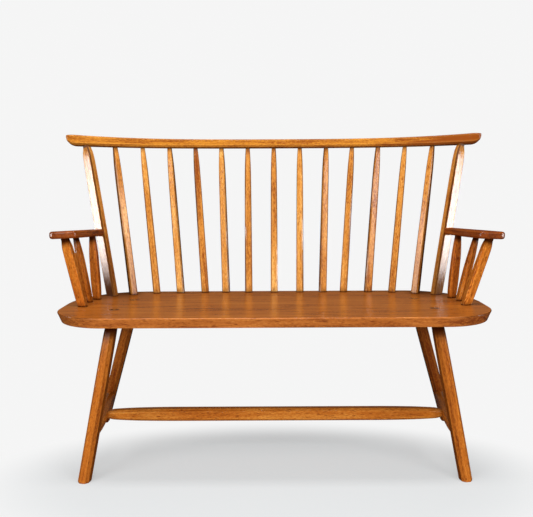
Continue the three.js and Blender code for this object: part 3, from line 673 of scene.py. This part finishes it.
arm = {
    "left": {"across": 575, "under": 623, "backDrop": 10},
    "right": {"across": 592, "under": 617.5, "backDrop": 4.5},
    "thickness": 21, "arris": 7, "frontOverhang": 28, "backOverhang": 8, "innerReach": 44, "outerReach": 42,
    "backInner": 17, "backOuter": 26, "cornerRadius": 12, "outerRadius": 30, "backRadius": 9,
    "outerDrop": 4.8, "frontPostDeep": 180, "waist": 0.52, "curveSteps": 18, "tone": 0.0,
}
armPost = {
    "width": 30, "thickness": 23, "widthShares": [1, 0.83, 0.96], "thicknessShares": [1, 0.91, 0.87],
    "footAcross": [0.905, 0.906, 0.887], "footDeep": [0.4, 0.562, 0.668],
    "headAcross": [0, 0.15, -0.35], "headDeep": [0, 0.33, 0.6], "along": [0, 0.14, 0.4, 0.66, 0.88, 1],
    "profiles": [[0.86, 0.97, 1, 1, 0.96, 0.74]] + [[0.8, 0.95, 1, 0.96, 0.8, 0.66]] * 2,
    "turns": [22, 30, 24], "tones": {"left": [0.02, 0.02, 0.0], "right": [0.08, 0.04, 0.0]}, "seed": 60,
    "facetShare": 0.25, "arris": 1.3, "uneven": 0.14, "rings": 22, "into": 7, "headShort": 4.7,
    # painted shade on the narrow sides, most of it low down, and close under the arm
    "narrowShade": 0.55, "narrowLess": 0.2, "narrowFacing": (0.75, 0.95), "narrowShares": (0.2, 0.55),
    "headShade": 0.97, "headShares": (0.87, 0.96),
}


def placeArm(side, sign, post):
    # where an arm sits on its front post, its axes, and how far back its end post stands
    own = arm[side]
    place = np.array([sign * own["across"], arm["frontPostDeep"], own["under"]])
    foot, head = post
    level = (own["under"] + arm["thickness"] / 2 - seat["height"]) / (head[2] - foot[2])
    back = foot + (head - foot) * level - place
    back[2] = 0
    reach = float(np.linalg.norm(back))
    back[2] = -own["backDrop"]
    back = unit(back)
    out = unit([back[1], -back[0], 0])
    out[2] = -sign * arm["outerDrop"] / (arm["innerReach"] + arm["outerReach"])
    up = unit(np.cross(out, back))
    across = np.cross(back, up)
    return place, np.stack([across, back, up]), reach


def bezier(points, steps):
    # curve of three or four handles, without its first point
    t = np.linspace(0, 1, steps + 1)[1:, None]
    p = [np.array(q, float) for q in points]
    if len(p) == 3:
        return list((1 - t) ** 2 * p[0] + 2 * t * (1 - t) * p[1] + t ** 2 * p[2])
    return list((1 - t) ** 3 * p[0] + 3 * t * (1 - t) ** 2 * p[1]
                + 3 * t ** 2 * (1 - t) * p[2] + t ** 3 * p[3])


def armOutline(sign, reach):
    # plan of an arm with its outward normals: broad in front, waisted, and narrow at the back
    front, back = -arm["frontOverhang"], reach + arm["backOverhang"]
    inner, outer = -arm["innerReach"], arm["outerReach"]
    waist, innerBack, outerBack = reach * arm["waist"], -arm["backInner"], arm["backOuter"]
    corner, big, small = arm["cornerRadius"], arm["outerRadius"], arm["backRadius"]
    steps = arm["curveSteps"]
    points = [np.array([inner + corner, front], float), np.array([outer - big, front], float)]
    points += bezier([points[-1], (outer, front), (outer, front + big)], steps)
    points += bezier([points[-1], (outer, waist), (outerBack, waist), (outerBack, back - small)], steps)
    points += bezier([points[-1], (outerBack, back), (outerBack - small, back)], steps // 2)
    points.append(np.array([innerBack + small, back], float))
    points += bezier([points[-1], (innerBack, back), (innerBack, back - small)], steps // 2)
    points += bezier([points[-1], (innerBack, waist), (inner, waist), (inner, front + corner)], steps)
    points += bezier([points[-1], (inner, front), (inner + corner, front)], steps // 2)[:-1]
    points = np.array(points) * [sign, 1]
    if sign < 0:
        points = points[::-1]
    ahead, behind = np.roll(points, -1, 0) - points, points - np.roll(points, 1, 0)
    tangent = unit(unit(ahead) + unit(behind))
    return points, np.column_stack([tangent[:, 1], -tangent[:, 0]])


def postShade(share, normals):
    # painted shade on the narrow sides and close under the arm
    narrow = armPost["narrowShade"] - armPost["narrowLess"] * ease(share, *armPost["narrowShares"])
    head = armPost["headShade"] * ease(share, *armPost["headShares"])
    return np.maximum(narrow * ease(np.abs(normals[:, 0]), *armPost["narrowFacing"]), head)


armRows = [(inset, height + arm["thickness"], *rest)
           for inset, height, *rest in edgeProfile(arm["thickness"], 0, arm["arris"], arm["arris"])]
for side, sign in sides:
    place, axes, reach = placeArm(side, sign, posts[side])
    points, normals = armOutline(sign, reach)
    piece = makeBoard("armrest_" + side, points, normals, armRows, place, [0, 2, 1], arm["tone"],
                      woods["redWood"], axes)
    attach(piece, "root")
    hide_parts("arm_" + side)
    for index in range(len(armPost["turns"])):
        foot = onSeat(sign, armPost["footAcross"][index], armPost["footDeep"][index])
        across = sign * arm["outerReach"] * armPost["headAcross"][index]
        head = place + np.array([across, reach * armPost["headDeep"][index], 0]) @ axes
        width = armPost["width"] * armPost["widthShares"][index]
        thickness = armPost["thickness"] * armPost["thicknessShares"][index]
        addStick(f"arm_post_{side}_{index + 1}", foot, head, sign * armPost["turns"][index], armPost,
                 armPost["profiles"][index], lambda shares: (width * shares, thickness * shares),
                 woods["postWood"], armPost["tones"][side][index],
                 armPost["seed"] + index * 2 + (sign > 0), postShade)
print("arms made")


# legs, their tenon ends in the seat, and the stretchers

leg = {
    "width": 31.5, "facetShare": 0.26, "arris": 1.6, "uneven": 0.08, "seed": 90, "seedStep": 9,
    "along": [0, 0.008, 0.3, 0.62, 0.86, 0.95, 1], "shares": [0.9, 0.97, 1, 1.02, 1, 0.96, 0.82],
    # rings close together at the foot, then evenly up to the seat and a little into it
    "footRings": [0, 0.004, 0.008], "firstRing": 0.03, "rings": 34, "lastRing": 1.02,
    # painted shade on the faces that look inwards; the rear legs' darker tone is painted shade as well
    "front": {"top": (432, 122), "foot": (498, 14), "turn": 12, "tone": 0.0, "innerShade": 0.65},
    "rear": {"top": (408, 275), "foot": (558, 462), "turn": 10, "tone": -0.11, "innerShade": 0.75},
    # painted shade close under the seat
    "topShade": 0.98, "topReach": (29, 60),    # close under the seat
}
tenon = {
    "radius": 11.75, "proud": 0.25, "arris": 0.15, "steps": 40, "lineWidth": 0.9, "lineProud": 0.12,
    "under": 1.5, "arrisOut": 0.3,
}
wedge = {"width": 21, "thickness": 4, "proud": 0.35, "arris": 0.1, "corner": 0.4, "cornerSteps": 2}
stretcher = {
    # rings stand closer at the ends; a body begins clear of the leg's or bar's axis and goes on into it
    "arris": 1.6, "uneven": 0.1, "rings": 40, "into": 12, "endSpacing": (0.9, 0.1),
    "sideHeights": (112, 111), "sideWidth": 37, "sideAlong": [0, 0.1, 0.27, 0.5, 0.73, 0.9, 1],
    "sideShares": [0.62, 0.84, 0.96, 1, 0.96, 0.84, 0.62], "sideFacetShare": 0.29, "sideTurn": 10,
    "sideClear": 18, "sideTone": -0.06,
    "crossPlace": 0.46, "crossHeight": 36, "crossDepth": 31, "crossFacetShare": 0.2, "crossClear": 19.5,
    "crossAlong": [0, 0.013, 0.04, 0.1, 0.2, 0.5, 0.8, 0.9, 0.96, 0.987, 1],
    "crossShares": [0.5, 0.72, 0.82, 0.94, 1, 1, 1, 0.94, 0.82, 0.72, 0.5],
    # the cross bar's upward faces take painted shade
    "crossTone": 0.07, "upperShade": 0.35, "upperFacing": (0.3, 0.9),
}


def addPlug(name, outline, normals, top, own, edges, order, material):
    # end of a tenon or wedge that shows in the seat's top
    proud, arris = own
    profile = [(0, -tenon["under"], 1, 0, edges[0]), (0, proud - arris, 1, 0, edges[1]),
               (arris, proud, tenon["arrisOut"], 1, edges[2])]
    return makeBoard(name, outline, normals, profile, top, order, 0.0, material)


def addLeg(end, side, sign):
    own = leg[end]
    head = np.array([sign * own["top"][0], own["top"][1], seat["height"]], float)
    foot = np.array([sign * own["foot"][0], own["foot"][1], 0], float)
    axes = stickFrame(foot, head, sign * own["turn"])
    body = (seat["height"] - seat["thickness"]) / axes[2][2]
    evenly = np.linspace(leg["firstRing"], 1, leg["rings"])
    shares = np.concatenate([leg["footRings"], evenly, [leg["lastRing"]]])
    widths = leg["width"] * smoothTable(np.clip(shares, 0, 1), leg["along"], leg["shares"])
    up = axes[:, 2]
    rows = []
    for share, width in zip(shares, widths):
        uneven = [leg["uneven"] * wander(min(share, 1), leg["seed"] + corner + leg["seedStep"] * sign)
                  for corner in range(8)]
        corners = facetCorners(width, width, width * leg["facetShare"], uneven)
        points, normals, edge = roundedSection(corners, leg["arris"])
        drop = (points[:, 0] * up[0] + points[:, 1] * up[1]) / up[2]    # level with floor and seat
        local = np.column_stack([points, body * share - drop])
        # painted shade close under the seat, and on the sides that face inwards
        inner = np.clip(-sign * (normals @ axes[:2, 0]), 0, 1) ** 2 * own["innerShade"]
        upper = leg["topShade"] * (1 - ease((1 - share) * body, *leg["topReach"]))
        rows.append((foot + local @ axes, normals @ axes[:2], local, edge, np.maximum(inner, upper)))
    piece = loftPiece(f"shaft_{end}_{side}", rows, own["tone"], woods["honeyWood"])
    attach(piece, "root")
    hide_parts(f"leg_{end}_{side}")

    a = np.linspace(0, 2 * math.pi, tenon["steps"], endpoint=False)
    ring = np.column_stack([np.cos(a), np.sin(a)])
    line = addPlug(f"tenon_line_{end}_{side}", ring * (tenon["radius"] + tenon["lineWidth"]), ring, head,
                   (tenon["lineProud"], tenon["arris"]), (1, 1, 1), [0, 1, 2], jointLine)
    cap = addPlug(f"tenon_end_{end}_{side}", ring * tenon["radius"], ring, head,
                  (tenon["proud"], tenon["arris"]), (1, 1, 1), [0, 1, 2], woods["endGrain"])
    x, y = wedge["thickness"] / 2, wedge["width"] / 2
    points, normals, _ = roundedSection([(x, y), (-x, y), (-x, -y), (x, -y)], wedge["corner"],
                                        wedge["cornerSteps"])
    key = addPlug(f"wedge_{end}_{side}", points, normals, head,
                  (wedge["proud"], wedge["arris"]), (0, 1, 0), [0, 2, 1], woods["wedgeWood"])
    for extra, slot in ((line, "dark_oak"), (cap, "honey_oak"), (key, "pale_oak")):
        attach(extra, "root")
    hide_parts(f"leg_wedge_{end}_{side}")
    return foot, head


def onLeg(ends, height):
    # place on a leg's axis at a height above the floor
    foot, head = ends
    return foot + (head - foot) * height / seat["height"]


def addStretcher(name, nodeName, start, end, turn, sizesOf, clear, facetShare, tone, shadeAt=None):
    # stretcher between two places, its body beginning clear of the pieces that hold it
    length = float(np.linalg.norm(end - start))
    wave = np.cos(np.linspace(0, math.pi, stretcher["rings"]))
    most, least = stretcher["endSpacing"]
    share = 0.5 - 0.5 * wave * (most + least * np.abs(wave))
    widths, depths = (np.concatenate([size[:1], size, size[-1:]]) for size in sizesOf(share))
    places = clear + (length - 2 * clear) * share
    places = np.concatenate([[clear - stretcher["into"]], places, [length - clear + stretcher["into"]]])
    look = {**stretcher, "facetShare": facetShare}
    piece = makeStick(name, start, end, turn, places, widths, depths, look, woods["honeyWood"], tone,
                      len(nodeName), lowLean=False, shadeAt=shadeAt)
    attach(piece, "root")
    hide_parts(nodeName)


def sideSizes(share):
    width = stretcher["sideWidth"] * smoothTable(share, stretcher["sideAlong"], stretcher["sideShares"])
    return width, width


def crossSizes(share):
    shares = smoothTable(share, stretcher["crossAlong"], stretcher["crossShares"])
    return stretcher["crossDepth"] * (1 + shares) / 2, stretcher["crossHeight"] * shares


def crossShade(share, normals):
    # painted shade on the faces that look up
    return stretcher["upperShade"] * ease(normals[:, 1], *stretcher["upperFacing"])


crossEnds = []
for side, sign in sides:
    front, rear = addLeg("front", side, sign), addLeg("rear", side, sign)
    start, end = (onLeg(ends, height) for ends, height in zip((front, rear), stretcher["sideHeights"]))
    addStretcher("bar_side_" + side, "side_stretcher_" + side, start, end, sign * stretcher["sideTurn"],
                 sideSizes, stretcher["sideClear"], stretcher["sideFacetShare"], stretcher["sideTone"])
    crossEnds.append(start * (1 - stretcher["crossPlace"]) + end * stretcher["crossPlace"])
addStretcher("bar_cross", "cross_stretcher", *crossEnds, 0, crossSizes, stretcher["crossClear"],
             stretcher["crossFacetShare"], stretcher["crossTone"], crossShade)
print("legs and stretchers made")

# the pegs and dowels at the back keep their own shape
for name in ("rail_peg_left", "rail_peg_right", "arm_dowel_left", "arm_dowel_right"):
    nodes[name].data.materials.clear()
    nodes[name].data.materials.append(pegWood)


# floor, light and camera

studio = {
    # strength of the backdrop, of the light from all round, and of what the varnish mirrors
    "backdrop": 0.915, "ambient": 0.13, "glossy": 0.13, "glossTint": (1.0, 0.78, 0.55),
    # paper on the floor, as the camera, the wood and the varnish see it, and its half size in metres
    "floorPaper": 0.365, "floorTint": (0.975, 1.0, 1.01), "floorLift": 0.40, "floorBounce": 0.50,
    "floorGlossy": 0.03, "floorReach": 30,
    # the shadow's ellipse on the floor in metres, and where in it the paper goes over into the backdrop
    "shadowCentre": (0, -0.25, 0), "shadowReach": (0.88, 0.48, 1), "shadowFade": (0.55, 0.95),
    "lamps": [
        # place, aim, width, height, watts, lights the wood, shows in its gloss
        ("topLamp", (0.0, -0.25, 3.1), (0.0, -0.2, 0), 2.2, 0.35, 34, True, True),
        ("keyLamp", (-0.4, -1.7, 3.0), (0, 0, 0.6), 2.0, 1.0, 26, True, True),
        ("frontLamp", (0.0, -3.6, 1.2), (0, 0, 0.5), 1.6, 0.8, 62, True, False),
        ("leftFrontLamp", (-2.1, -2.1, 1.75), (0, 0, 0.6), 1.5, 1.2, 30, True, True),
        ("rightFrontLamp", (1.9, -2.2, 1.9), (0, 0, 0.55), 1.5, 1.2, 30, True, True),
        ("leftCard", (-2.5, -0.20, 0.83), (0, -0.20, 0.83), 0.42, 0.82, 21, False, True),
        ("rightCard", (2.5, -0.20, 0.83), (0, -0.20, 0.83), 0.42, 0.82, 21, False, True),
    ],
}


def mixShaders(tree, share, first, second):
    node = tree.nodes.new("ShaderNodeMixShader")
    for socket, value in zip(node.inputs, (share, first, second)):
        feed(tree, socket, value)
    return node.outputs[0]


def makeFloor():
    far = studio["floorReach"]
    mesh = bpy.data.meshes.new("floor")
    mesh.from_pydata([(-far, -far, 0), (far, -far, 0), (far, far, 0), (-far, far, 0)], [], [(0, 1, 2, 3)])
    floor = bpy.data.objects.new("floor", mesh)
    scene.collection.objects.link(floor)
    material = bpy.data.materials.new("floorPaper")
    material.use_nodes = True
    tree = material.node_tree
    tree.nodes.remove(tree.nodes["Principled BSDF"])

    def grey(kind, key):
        colour = (*(studio[key] * tint for tint in studio["floorTint"]), 1)
        return addNode(tree, kind, Color=colour).outputs[0]

    # the paper near the bench takes its shadow, and further out it goes over into the backdrop; inside the
    # ellipse the paper is greyer than the backdrop even where no shadow falls, a painted shade round the
    # real shadow
    away = addNode(tree, "ShaderNodeNewGeometry").outputs["Position"]
    for kind, key in (("SUBTRACT", "shadowCentre"), ("DIVIDE", "shadowReach")):
        step = addNode(tree, "ShaderNodeVectorMath", {"operation": kind}, Vector=away)
        step.inputs[1].default_value = studio[key]
        away = step.outputs[0]
    distance = addNode(tree, "ShaderNodeVectorMath", {"operation": "LENGTH"}, Vector=away)
    low, high = studio["shadowFade"]
    reach = addNode(tree, "ShaderNodeMapRange", {"interpolation_type": "SMOOTHSTEP"},
                    Value=distance.outputs["Value"], From_Min=low, From_Max=high)
    lit = addNode(tree, "ShaderNodeAddShader")
    feed(tree, lit.inputs[0], grey("ShaderNodeBsdfDiffuse", "floorPaper"))
    feed(tree, lit.inputs[1], grey("ShaderNodeEmission", "floorLift"))
    plainBack = addNode(tree, "ShaderNodeEmission", Strength=studio["backdrop"])
    path = addNode(tree, "ShaderNodeLightPath").outputs
    seen = mixShaders(tree, reach.outputs["Result"], lit.outputs[0], plainBack.outputs[0])
    plain = mixShaders(tree, path["Is Camera Ray"], grey("ShaderNodeBsdfDiffuse", "floorBounce"), seen)
    whole = mixShaders(tree, path["Is Glossy Ray"], plain, grey("ShaderNodeEmission", "floorGlossy"))
    feed(tree, tree.nodes["Material Output"].inputs["Surface"], whole)
    mesh.materials.append(material)


def makeWorld():
    # the camera sees the pale backdrop, the varnish a dim warm room, and all else a little plain light
    world = bpy.data.worlds.new("studio")
    scene.world = world
    world.use_nodes = True
    tree = world.node_tree
    tree.nodes.remove(tree.nodes["Background"])
    path = addNode(tree, "ShaderNodeLightPath").outputs
    white = (1, 1, 1)
    ambient, glossy, backdrop = (
        addNode(tree, "ShaderNodeBackground", Color=(*tint, 1), Strength=studio[key]).outputs[0]
        for key, tint in (("ambient", white), ("glossy", studio["glossTint"]), ("backdrop", white)))
    shiny = mixShaders(tree, path["Is Glossy Ray"], ambient, glossy)
    seen = mixShaders(tree, path["Is Camera Ray"], shiny, backdrop)
    feed(tree, tree.nodes["World Output"].inputs["Surface"], seen)


makeFloor()
makeWorld()
for name, place, aim, width, height, watts, lights, shows in studio["lamps"]:
    light = bpy.data.lights.new(name, "AREA")
    light.shape = "RECTANGLE"
    light.size, light.size_y, light.energy = width, height, watts
    lamp = bpy.data.objects.new(name, light)
    lamp.location = place
    lamp.rotation_mode = "QUATERNION"
    lamp.rotation_quaternion = (Vector(aim) - Vector(place)).to_track_quat("-Z", "Y")
    lamp.visible_diffuse, lamp.visible_glossy = lights, shows
    scene.collection.objects.link(lamp)

# place in millimetres, angles in degrees, lens and sensor width in millimetres
camera = {
    "lens": 45.916, "sensor": 36, "shift": -0.01445, "farClip": 100,
    "place": (0, -1684.4, 780.5), "pitch": 6.587, "roll": 0.253,
}
cameraData = bpy.data.cameras.new("photoCamera")
cameraData.sensor_width = camera["sensor"]
cameraData.lens = camera["lens"]
cameraData.shift_x = camera["shift"]
cameraData.clip_end = camera["farClip"]
cameraPiece = bpy.data.objects.new("photoCamera", cameraData)
tilt = Matrix.Rotation(math.radians(90 - camera["pitch"]), 4, "X")
roll = Matrix.Rotation(math.radians(-camera["roll"]), 4, "Z")
x, y, z = camera["place"]
cameraPiece.matrix_world = Matrix.Translation((x * mm, y * mm + seatFront, z * mm)) @ tilt @ roll
scene.collection.objects.link(cameraPiece)
scene.camera = cameraPiece
scene.view_settings.view_transform = "Standard"
print("stage, light and camera set")
